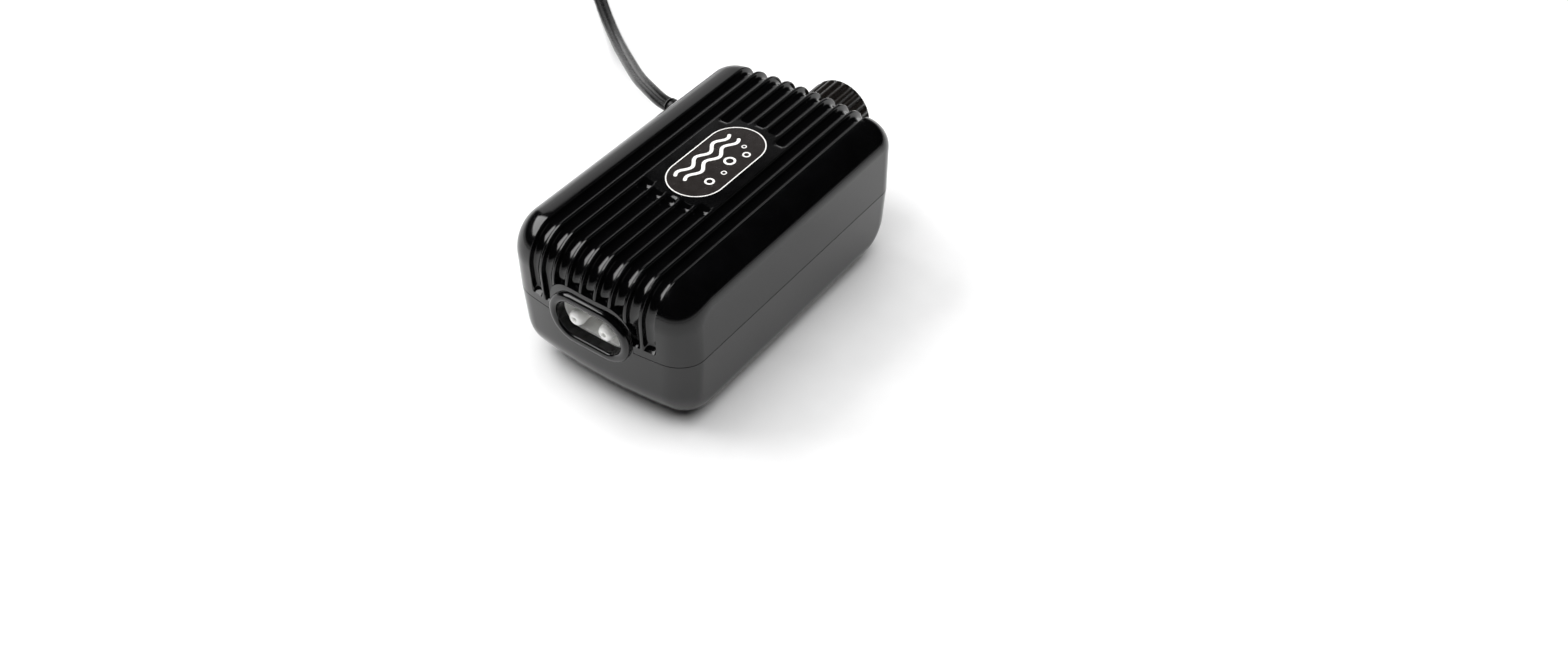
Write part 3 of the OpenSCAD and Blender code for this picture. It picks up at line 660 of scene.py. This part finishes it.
def turned_piece(name, outline, material, axis=(0, 0, 1), foot=(0, 0, 0), sides=48,
                 flutes=0, depth=0.0, flutes_from=1.0):
    """A piece turned from (radius, height) points in millimetres, with its foot and axis as given."""
    mesh = bpy.data.meshes.new(name)
    points = [(r * mm, -z * mm, 0) for r, z in outline]
    mesh.from_pydata(points, [(k, k + 1) for k in range(len(points) - 1)], [])
    piece = grown(name, mesh, lathe_tree, Sides=sides, Flutes=flutes, Depth=depth, From=flutes_from,
                  Finish=material)
    turn = Vector(axis).to_track_quat("Z", "Y").to_matrix().to_4x4()
    piece.data.transform(Matrix.Translation(foot) @ turn)
    return piece


def at_places(name, item, places, material):
    """Copies of an item, which is then deleted, at each of the places."""
    mesh = bpy.data.meshes.new(name)
    mesh.from_pydata(places, [], [])
    piece = grown(name, mesh, place_tree, Piece=item, Finish=material)
    bpy.data.objects.remove(item)
    return piece


soft_rubber = finish("matt_black_rubber", (0.012, 0.012, 0.012), (0.022, 0.021, 0.02), (0.55, 0.75),
                     150, 2500, 0.00003)
foot_outline = [(0, 0.45), (2.2, 0.4), (3.0, 0.0), (3.7, 0.0), (4.3, 0.25), (4.6, 0.8), (4.6, 2.35),
                (3.25, 2.45), (3.2, 4.4), (0, 4.5)]
foot = turned_piece("foot", foot_outline, soft_rubber)
feet = at_places("feet", foot, [(x, y, 0) for x, y in post_places], soft_rubber)
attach(feet, "housing")
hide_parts("rubber_feet")

# ---- Outlet manifold ----
# A white moulding behind the oval opening: a shallow socket and, in it, two round-ended nozzles that
# the airlines are pushed on to. Each nozzle goes on as a stub behind the socket for its inner hose.
white_plastic = finish("white_moulded_plastic", (0.84, 0.84, 0.82), (0.9, 0.9, 0.88), (0.3, 0.42),
                       60, 900, 0.00001)
nozzle_gap, nozzle_out = 11.8 * mm, 0.6 * mm
collar_seat = 0.6 * mm
socket_front_y, socket_rear_y = front_y + wall + collar_seat, front_y + 11.5 * mm
socket_rim, socket_wall, socket_back = 1 * mm, 1.4 * mm, 2.5 * mm
manifold = prism("manifold", stadium(outlet_w + socket_rim, outlet_h + socket_rim, (0, outlet_z)),
                 socket_front_y, socket_rear_y, "Y")
combine(manifold, "DIFFERENCE",
        prism("socket", stadium(outlet_w - socket_wall, outlet_h - socket_wall, (0, outlet_z)),
              front_y, socket_rear_y - socket_back, "Y"))
nozzle_outline = [(0.75, 14), (0.75, 0.5), (0.95, 0.12), (1.4, 0), (1.85, 0.12), (2.3, 0.5), (2.6, 1.15),
                  (2.72, 2.0), (2.72, 2.6), (2.5, 3.4), (2.45, 9.2), (2.9, 10.4), (2.9, 11), (2, 11.2),
                  (2, 17.2), (1.4, 17.2), (1.4, 14), (0.75, 14)]
for side in (-1, 1):
    nozzle = turned_piece("nozzle", nozzle_outline, white_plastic, (0, 1, 0),
                          (side * nozzle_gap / 2, front_y - nozzle_out, outlet_z))
    combine(manifold, "UNION", nozzle)
face_outwards(manifold.data)
coat(manifold, white_plastic)
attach(manifold, "housing")
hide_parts("outlet_manifold")

# ---- Label ----
# A thin oval film with a warm black ground, stuck in a shallow seat on the plateau. A pale line runs
# round its edge, and bubbles rise from two waves in the same pale ink.
label_top, film_gap = top_z + 0.08 * mm, 0.3 * mm
label_film = finish("warm_black_film", (0.011, 0.0085, 0.0075), (0.014, 0.011, 0.01), (0.2, 0.28),
                    80, 2000, 0.000003)
label = prism("label", stadium(label_w - film_gap, label_l - film_gap, (0, label_y), 48),
              top_z - 0.38 * mm, label_top)
coat(label, label_film)
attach(label, "housing")
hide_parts("label_plate")

ink = finish("pale_ink", (0.8, 0.79, 0.76), (0.87, 0.86, 0.84), (0.3, 0.4), 300, 4000, 0.000003)
ink_top = label_top + 0.012 * mm


def strip(outer, inner):
    """A flat printed band between two closed outlines with as many points."""
    count = len(outer)
    points = [(x, y, ink_top) for x, y in outer + inner]
    return points, [(k, (k + 1) % count, (k + 1) % count + count, k + count) for k in range(count)]


def ribbon(line, half):
    """A flat printed line of even width with round ends."""
    points = [Vector(p) for p in line]
    left, right_side = [], []
    for k, point in enumerate(points):
        along = (points[min(k + 1, len(points) - 1)] - points[max(k - 1, 0)]).normalized()
        aside = Vector((-along.y, along.x)) * half
        left.append(point + aside)
        right_side.append(point - aside)
    ends = []
    for point, toward in ((points[-1], points[-1] - points[-2]), (points[0], points[0] - points[1])):
        start = math.atan2(toward.y, toward.x)
        turns = [start + a for a in np.linspace(-1.4, 1.4, 9)]
        ends.append([point + half * Vector((math.cos(a), math.sin(a))) for a in turns])
    outline = right_side + ends[0] + left[::-1] + ends[1]
    return [(p.x, p.y, ink_top) for p in outline], [tuple(range(len(outline)))]


edge_out, edge_in = 0.35 * mm, 1.15 * mm
prints = [strip(stadium(label_w - edge_out, label_l - edge_out, (0, label_y), 48),
                stadium(label_w - edge_in, label_l - edge_in, (0, label_y), 48))]
wave_high, wave_long, wave_half_w = 1.15 * mm, 9.5, 0.62 * mm
for rise in (-5.6, -1.7):
    wave = [(rise * mm + wave_high * math.sin(along * 2 * math.pi / wave_long), label_y + along * mm)
            for along in np.arange(-13.5, 13.6, 0.5)]
    prints.append(ribbon(wave, wave_half_w))
bubbles = ((4.6, -9.6, 1.7), (3.4, 2.6, 2.1), (5.8, 8.4, 1.4), (2.6, 11.4, 0.9), (5.6, -3.4, 1.0))
for x, along, r in bubbles:
    centre = (x * mm, label_y + along * mm)
    prints.append(strip(disc(r * mm, centre, 40), disc(r * 0.6 * mm, centre, 40)))
vertices, faces = [], []
for points, areas in prints:
    faces += [tuple(k + len(vertices) for k in area) for area in areas]
    vertices += points
print_mesh = bpy.data.meshes.new("label_print")
print_mesh.from_pydata(vertices, [], faces)
label_print = new_piece("label_print", print_mesh)
thickness = label_print.modifiers.new("ink_layer", "SOLIDIFY")
thickness.thickness = 0.02 * mm
thickness.offset = -1
face_outwards(plain_mesh(label_print, "label_print"))
coat(label_print, ink)
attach(label_print, "housing")

# ---- Adjusting knob ----
# The flow knob at the rear, a satin black moulding with flutes round its grip, a round rim and a
# recess that hides the control's nut. A pointer line is sunk in its end.
knob_z, knob_front_y, knob_end_y = 32.5 * mm, 53.3 * mm, 70 * mm
knob_plastic = finish("satin_black_plastic", (0.006, 0.005, 0.0045), (0.009, 0.0075, 0.0065),
                      (0.24, 0.34), 120, 1800, 0.00001)
knob_r, flute_count, flute_depth = 12.3, 24, 0.9 * mm
# the rounded rims, as (how far inside the knob's radius, height)
rims = [(0.9, 0), (0.45, 0.25), (0.25, 0.8), (0.25, 1.5), (0.05, 1.9), (0, 2.4), (0, 8), (0, 14.6),
        (0.1, 15.3), (0.4, 15.9), (0.9, 16.3), (1.6, 16.6), (2.4, 16.7), (3, 16.55), (3.4, 16.2)]
grip_outline = [(0, 4.4), (6.4, 4.4), (6.5, 0)] + [(knob_r - inside, z) for inside, z in rims]
grip_outline += [(4, 16.1), (0, 16.1)]
knob = turned_piece("knob", grip_outline, knob_plastic, (0, 1, 0), (0, knob_front_y, knob_z),
                    flute_count * 12, flute_count, flute_depth, (knob_r - 0.2) * mm)
combine(knob, "DIFFERENCE",
        prism("pointer", stadium(1.2 * mm, 6 * mm, (0, knob_z + 4.2 * mm)),
              knob_end_y - 1.2 * mm, knob_end_y + 1 * mm, "Y"),
        prism("spindle_way", disc(2 * mm, (0, knob_z)),
              knob_front_y - 1 * mm, knob_front_y + 12 * mm, "Y"))
face_outwards(knob.data)
coat(knob, knob_plastic)
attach(knob, "knob")
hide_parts("adjusting_knob")

# ---- Strain relief ----
# A soft vinyl sleeve gripped by the seam on the left side. It tapers outwards, ringed by slots that
# let it bend with the cord, and leans a little to the rear as the cord leaves.
cord_vinyl = finish("glossy_black_vinyl", (0.004, 0.004, 0.004), (0.007, 0.007, 0.007), (0.2, 0.3),
                    90, 1200, 0.000015, Specular_IOR_Level=0.28)
lean = math.radians(8.7)
sleeve_outline = [(0, 0.4), (4.3, 0.5), (4.6, 0.9), (4.6, 2.6), (4.3, 3.0)]
# one ring and the slot behind it, as (how far inside the ring's radius, how far along)
ring_shape = [(0, 0), (0.03, 1.5), (0.25, 1.7), (0.75, 1.75), (0.78, 2.4), (0.25, 2.45)]
ring_count, ring_pitch, ring_taper = 6, 2.7, 0.2
for ring_no in range(ring_count):
    start = 3.2 + ring_no * ring_pitch
    r = 4.2 - ring_no * ring_taper
    sleeve_outline += [(r - inside, start + along) for inside, along in ring_shape]
sleeve_outline += [(3.05, 19.4), (2.8, 19.8), (2.3, 19.8), (0, 19.8)]
sleeve = turned_piece("strain_sleeve", sleeve_outline, cord_vinyl,
                      (-math.cos(lean), math.sin(lean), 0), cord_exit)
neck_outline = [(0, 1.2), (3.5, 1.2), (3.5, 0), (3.5, -4.6), (4.4, -4.6), (4.6, -4.4), (4.6, -2.8),
                (4.4, -2.6), (0, -2.6)]
neck = turned_piece("neck", neck_outline, cord_vinyl, (-1, 0, 0), cord_exit)
combine(sleeve, "UNION", neck)
face_outwards(sleeve.data)
coat(sleeve, cord_vinyl)
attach(sleeve, "housing")
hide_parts("strain_relief")

# ---- Plug ----
# A two-blade mains plug in black vinyl, moulded on to the cord: a ringed boot and a flat body with
# ribbed sides for the fingers. The brass blades have a hole near their ends.
plug_back = Vector((-113 * mm, 202.5 * mm, 6.5 * mm))
plug_l, plug_w, plug_t, boot_l = 26 * mm, 24 * mm, 13 * mm, 12 * mm
boot_outline = [(0, 0), (3.1, 0), (3.4, 0.3)]
for ring_no in range(4):
    start = 0.6 + ring_no * 2.7
    r = 3.5 + ring_no * 0.38
    boot_outline += [(r, start), (r + 0.2, start + 1.6), (r - 0.5, start + 1.9),
                     (r - 0.45, start + 2.5)]
boot_outline += [(5, 11.6), (5, 13), (0, 13)]
plug = turned_piece("plug", boot_outline, cord_vinyl, (1, 0, 0), plug_back)


def rounded_block(name, low, high, r, taper=0.0):
    """A block with rounded edges; its far X end is wider by the taper on each side."""
    shape = bmesh.new()
    bmesh.ops.create_cube(shape, size=1)
    centre, size = (Vector(low) + Vector(high)) / 2, Vector(high) - Vector(low)
    for v in shape.verts:
        narrower = taper * 2 if v.co.x < 0 else 0
        v.co = Vector((v.co.x * size.x, v.co.y * (size.y - narrower), v.co.z * size.z)) + centre
    bmesh.ops.bevel(shape, geom=shape.edges[:], offset=r, segments=5, profile=0.5, affect="EDGES")
    mesh = bpy.data.meshes.new(name)
    shape.to_mesh(mesh)
    shape.free()
    face_outwards(mesh)
    return new_piece(name, mesh)


body_start = plug_back.x + boot_l
plug_edge_r, plug_taper = 3.2 * mm, 3.4 * mm
body_low = (body_start, plug_back.y - plug_w / 2, plug_back.z - plug_t / 2)
body_high = (body_start + plug_l, plug_back.y + plug_w / 2, plug_back.z + plug_t / 2)
combine(plug, "UNION", rounded_block("body", body_low, body_high, plug_edge_r, plug_taper))
grip = rounded_block("grip", (-0.45 * mm, -0.6 * mm, -4.2 * mm), (0.45 * mm, 0.6 * mm, 4.2 * mm),
                     0.35 * mm)
grip_places = []
for side in (-1, 1):
    for k in range(6):
        drawn_in = (15.5 - 2.2 * k) / 26 * 3.4 * mm * 0.9
        grip_places.append((body_start + (9 + 2.2 * k) * mm,
                            plug_back.y + side * (plug_w / 2 - drawn_in), plug_back.z))
combine(plug, "UNION", at_places("grips", grip, grip_places, cord_vinyl))
face_outwards(plug.data)
coat(plug, cord_vinyl)
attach(plug, "housing")
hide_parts("plug_body")

brass = finish("stamped_brass", (0.62, 0.44, 0.18), (0.75, 0.56, 0.27), (0.22, 0.34),
               200, 3000, 0.000008, Metallic=1.0)
blade_end = body_start + plug_l + 16 * mm
blade_apart = 6.35 * mm
blade = rounded_block("blade", (-9 * mm, -0.75 * mm, -3.15 * mm), (9 * mm, 0.75 * mm, 3.15 * mm),
                      0.5 * mm)
combine(blade, "DIFFERENCE", prism("hole", disc(1.5 * mm, (5.4 * mm, 0)), -2 * mm, 2 * mm, "Y"))
blade_places = [(blade_end - 9 * mm, plug_back.y + side * blade_apart, plug_back.z) for side in (-1, 1)]
blades = at_places("blades", blade, blade_places, brass)
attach(blades, "housing")
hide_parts("plug_blades")

# ---- Mains cord ----
# A flat twin cord in glossy black vinyl, 5.5 by 2.8 mm, about 1.25 m long. It leaves the sleeve with a
# slight twist, falls to the table, runs flat to a tied coil of two layers, and ends in the plug.
lead_route = [(-56, 39.5, 28.5), (-61, 41.2, 27.6), (-67, 44.3, 26.2), (-74, 48.6, 24),
              (-81.5, 53.6, 21.2), (-89.5, 59.7, 18), (-98, 66.5, 14.7), (-107, 73.8, 11.2),
              (-116, 81.2, 7.8), (-125, 88.6, 4.9), (-134, 95.9, 2.8), (-143.5, 103.5, 1.7),
              (-153, 111.2, 1.5), (-161, 117.6, 1.5), (-169, 124, 1.5), (-177, 130.4, 1.5),
              (-185, 136.9, 1.5)]
tail_route = [(-162.5, 201, 4.4), (-155, 201, 4.2), (-147, 201.3, 3.3), (-139, 201.8, 2.8),
              (-131, 202.2, 3.2), (-124, 202.4, 4.6), (-118, 202.5, 5.9), (-113, 202.5, 6.5)]
coil_centre, coil_r, cord_w, cord_t = (-162.5, 165), 36, 5.5, 2.8
first_angle, turns = 231.3, 5.3925


def eased(value, start, end):
    """0 before the start, 1 after the end and a smooth step between."""
    t = max(0, min(1, (value - start) / (end - start)))
    return t * t * (3 - 2 * t)


def coil_point(turn):
    """A point of the coil: two steps inwards in the lower layer, a climb, and two steps out above."""
    steps_in = (eased(turn, 0.75, 1) + eased(turn, 1.75, 2)
                - eased(turn, 3.39, 3.62) - eased(turn, 4.39, 4.62))
    r = coil_r - cord_w * steps_in
    angle = math.radians(first_angle - 360 * turn)
    z = 1.5 + cord_t * eased(turn, 2.5, 2.8)
    return (coil_centre[0] + r * math.cos(angle), coil_centre[1] + r * math.sin(angle), z)


def flowing(points, steps):
    """More points on a smooth curve through the given ones."""
    points = [2 * points[0] - points[1], *points, 2 * points[-1] - points[-2]]
    curve = []
    for a, b, c, d in zip(points, points[1:], points[2:], points[3:]):
        for k in range(steps):
            t = k / steps
            curve.append(0.5 * (2 * b + (c - a) * t + (2 * a - 5 * b + 4 * c - d) * t ** 2
                                + (3 * b - a - 3 * c + d) * t ** 3))
    return curve + [points[-2]]


coil_route = [coil_point(turns * k / 150) for k in range(1, 150)]
start_point, end_point = (-53.6, 39.1, 28.5), (-109, 202.5, 6.5)
cord_points = [start_point, *lead_route, *coil_route, *tail_route, end_point]
cord_route = flowing([Vector(p) * mm for p in cord_points], 3)

lobe_r, lobe_x = cord_t / 2 * mm, (cord_w - cord_t) / 2 * mm
lobe_turns = [math.radians(a) for a in range(-120, 121, 24)]
half_section = [(lobe_x + lobe_r * math.cos(a), lobe_r * math.sin(a)) for a in lobe_turns]
free_twist, web = math.radians(-30), 0.72 * mm
cord_section = half_section + [(0, web)] + [(-x, -z) for x, z in half_section] + [(0, -web)]
vertices, faces = [], []
for k, point in enumerate(cord_route):
    along = (cord_route[min(k + 1, len(cord_route) - 1)] - cord_route[max(k - 1, 0)]).normalized()
    twist = Matrix.Rotation(free_twist * eased(point.z, 3 * mm, 12 * mm), 3, along)
    aside = twist @ Vector((0, 0, 1)).cross(along).normalized()
    upright = along.cross(aside)
    vertices += [point + aside * x + upright * z for x, z in cord_section]
count = len(cord_section)
for k in range(len(cord_route) - 1):
    here, ahead = k * count, (k + 1) * count
    faces += [(here + j, here + (j + 1) % count, ahead + (j + 1) % count, ahead + j)
              for j in range(count)]
faces += [tuple(reversed(range(count))), tuple(range(len(vertices) - count, len(vertices)))]
cord_mesh = bpy.data.meshes.new("mains_cord")
cord_mesh.from_pydata(vertices, [], faces)
face_outwards(cord_mesh)
mains_cord = new_piece("mains_cord", cord_mesh)
coat(mains_cord, cord_vinyl)
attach(mains_cord, "housing")
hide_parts("cord_lead", "cord_coil", "cord_tail")

# A flat coated wire, bent round the coil and twisted once, holds it.
tie_finish = finish("tie_coating", (0.02, 0.02, 0.02), (0.04, 0.04, 0.04), (0.4, 0.55),
                    200, 3000, 0.00001)
tie_x, tie_half, tie_t = (coil_centre[0] + coil_r - cord_w) * mm, 8.25 * mm, 0.9 * mm
tie = rounded_block("tie", (tie_x - tie_half - tie_t, coil_centre[1] * mm - 1.5 * mm, 0),
                    (tie_x + tie_half + tie_t, coil_centre[1] * mm + 1.5 * mm, 6.6 * mm), tie_t)
coil_room = box_outline((tie_x - tie_half, 0.12 * mm), (tie_x + tie_half, 5.75 * mm))
combine(tie, "DIFFERENCE",
        prism("coil_room", coil_room, (coil_centre[1] - 3) * mm, (coil_centre[1] + 3) * mm, "Y"))
face_outwards(tie.data)
coat(tie, tie_finish)
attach(tie, "housing")
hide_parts("cord_tie")

# ---- Diaphragms ----
# Two soft rubber cups, clipped round the mouths of the valve chambers. The arms push and pull their
# middles, so each cup stretches between its clipped rim and the arm.
for side, node in ((-1, "left"), (1, "right")):
    cup_mesh = nodes[node + "_diaphragm"].data.copy()
    face_outwards(cup_mesh)
    cup = new_piece(node + "_cup", cup_mesh)
    coat(cup, soft_rubber)
    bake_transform(cup)
    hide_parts(node + "_diaphragm")

# ---- Finishes of the inner works ----
# The parts inside are as they come from their makers: punched steel sheets, enamelled copper wire,
# sintered magnets, rubber diaphragms and bushes, pressed felt and bright plated screws.


def banded(name, first, second, roughness, repeats, direction, depth, **settings):
    """A finish with fine parallel bands, such as stacked sheets or wound wire."""
    material, tree, principled = shader(name, **settings)
    bands = pattern(tree, "ShaderNodeTexWave", repeats, Distortion=0.15)
    bands.bands_direction = direction
    two_tone(tree, bands.outputs["Fac"], first, second, principled.inputs["Base Color"])
    cloud = pattern(tree, "ShaderNodeTexNoise", 200)
    spread(tree, cloud.outputs["Fac"], *roughness, principled.inputs["Roughness"])
    relief(tree, principled, bands.outputs["Fac"], depth)
    return material


inner_finishes = {
    "filter_cover": finish("filter_cover_plastic", (0.005, 0.005, 0.005), (0.008, 0.008, 0.008), (0.25, 0.35),
                           60, 1500, 0.00001),
    "filter_felt": finish("pressed_felt", (0.6, 0.6, 0.56), (0.78, 0.78, 0.74), (0.9, 1.0),
                          700, 5000, 0.0002),
    "magnet_core": banded("stacked_steel", (0.12, 0.12, 0.13), (0.3, 0.31, 0.33), (0.35, 0.5),
                          320, "Z", 0.00008, Metallic=1.0),
    "coil_bobbin": white_plastic,
    "coil_winding": banded("enamelled_wire", (0.3, 0.08, 0.03), (0.6, 0.22, 0.08), (0.25, 0.35),
                           500, "Y", 0.0001, Metallic=1.0),
    "core_pads": soft_rubber, "left_bush": soft_rubber, "right_bush": soft_rubber,
    "inner_cord_end": cord_vinyl, "cord_clamp": knob_plastic}
plated = finish("plated_steel", (0.5, 0.51, 0.53), (0.62, 0.63, 0.65), (0.22, 0.36),
                250, 4000, 0.000008, Metallic=1.0)
ferrite = finish("sintered_ferrite", (0.035, 0.035, 0.037), (0.06, 0.06, 0.062), (0.5, 0.65),
                 300, 3000, 0.00003)
arm_plastic = finish("cream_plastic", (0.7, 0.66, 0.56), (0.77, 0.73, 0.64), (0.4, 0.5),
                     80, 1500, 0.00001)
chamber_plastic = finish("grey_plastic", (0.5, 0.53, 0.56), (0.58, 0.61, 0.64), (0.3, 0.42),
                         80, 1500, 0.00001)
flap_rubber = finish("red_silicone", (0.4, 0.1, 0.03), (0.5, 0.15, 0.06), (0.45, 0.6),
                     150, 2500, 0.00002)
hose_silicone = finish("milky_silicone", (0.7, 0.73, 0.73), (0.8, 0.82, 0.82), (0.25, 0.35),
                       150, 1500, 0.00001)
control_plastic = finish("control_plastic", (0.05, 0.05, 0.055), (0.08, 0.08, 0.085), (0.4, 0.5),
                         150, 2000, 0.00001)
board = finish("coated_board", (0.015, 0.1, 0.04), (0.03, 0.16, 0.07), (0.3, 0.4), 700, 3000, 0.00001)
amber = finish("dipped_parts", (0.4, 0.18, 0.03), (0.55, 0.27, 0.06), (0.25, 0.35), 300, 2000, 0.00001)
wire_red = finish("wire_insulation", (0.3, 0.02, 0.015), (0.42, 0.04, 0.03), (0.35, 0.45),
                  300, 2000, 0.00001)
for name in ("knob_spindle", "casing_screws", "core_screws", "pivot_pins", "left_diaphragm_screw",
             "right_diaphragm_screw", "control_nut", "clamp_screw"):
    inner_finishes[name] = plated
for side in ("left", "right"):
    inner_finishes |= {side + "_arm": arm_plastic, side + "_magnet": ferrite,
                       side + "_valve_chamber": chamber_plastic, side + "_valve_flaps": flap_rubber,
                       side + "_air_hose": hose_silicone}
inner_finishes |= {"control_body": control_plastic, "circuit_board": board, "board_components": amber,
                   "supply_wires": wire_red}
for name, material in inner_finishes.items():
    nodes[name].data.materials.clear()
    nodes[name].data.materials.append(material)
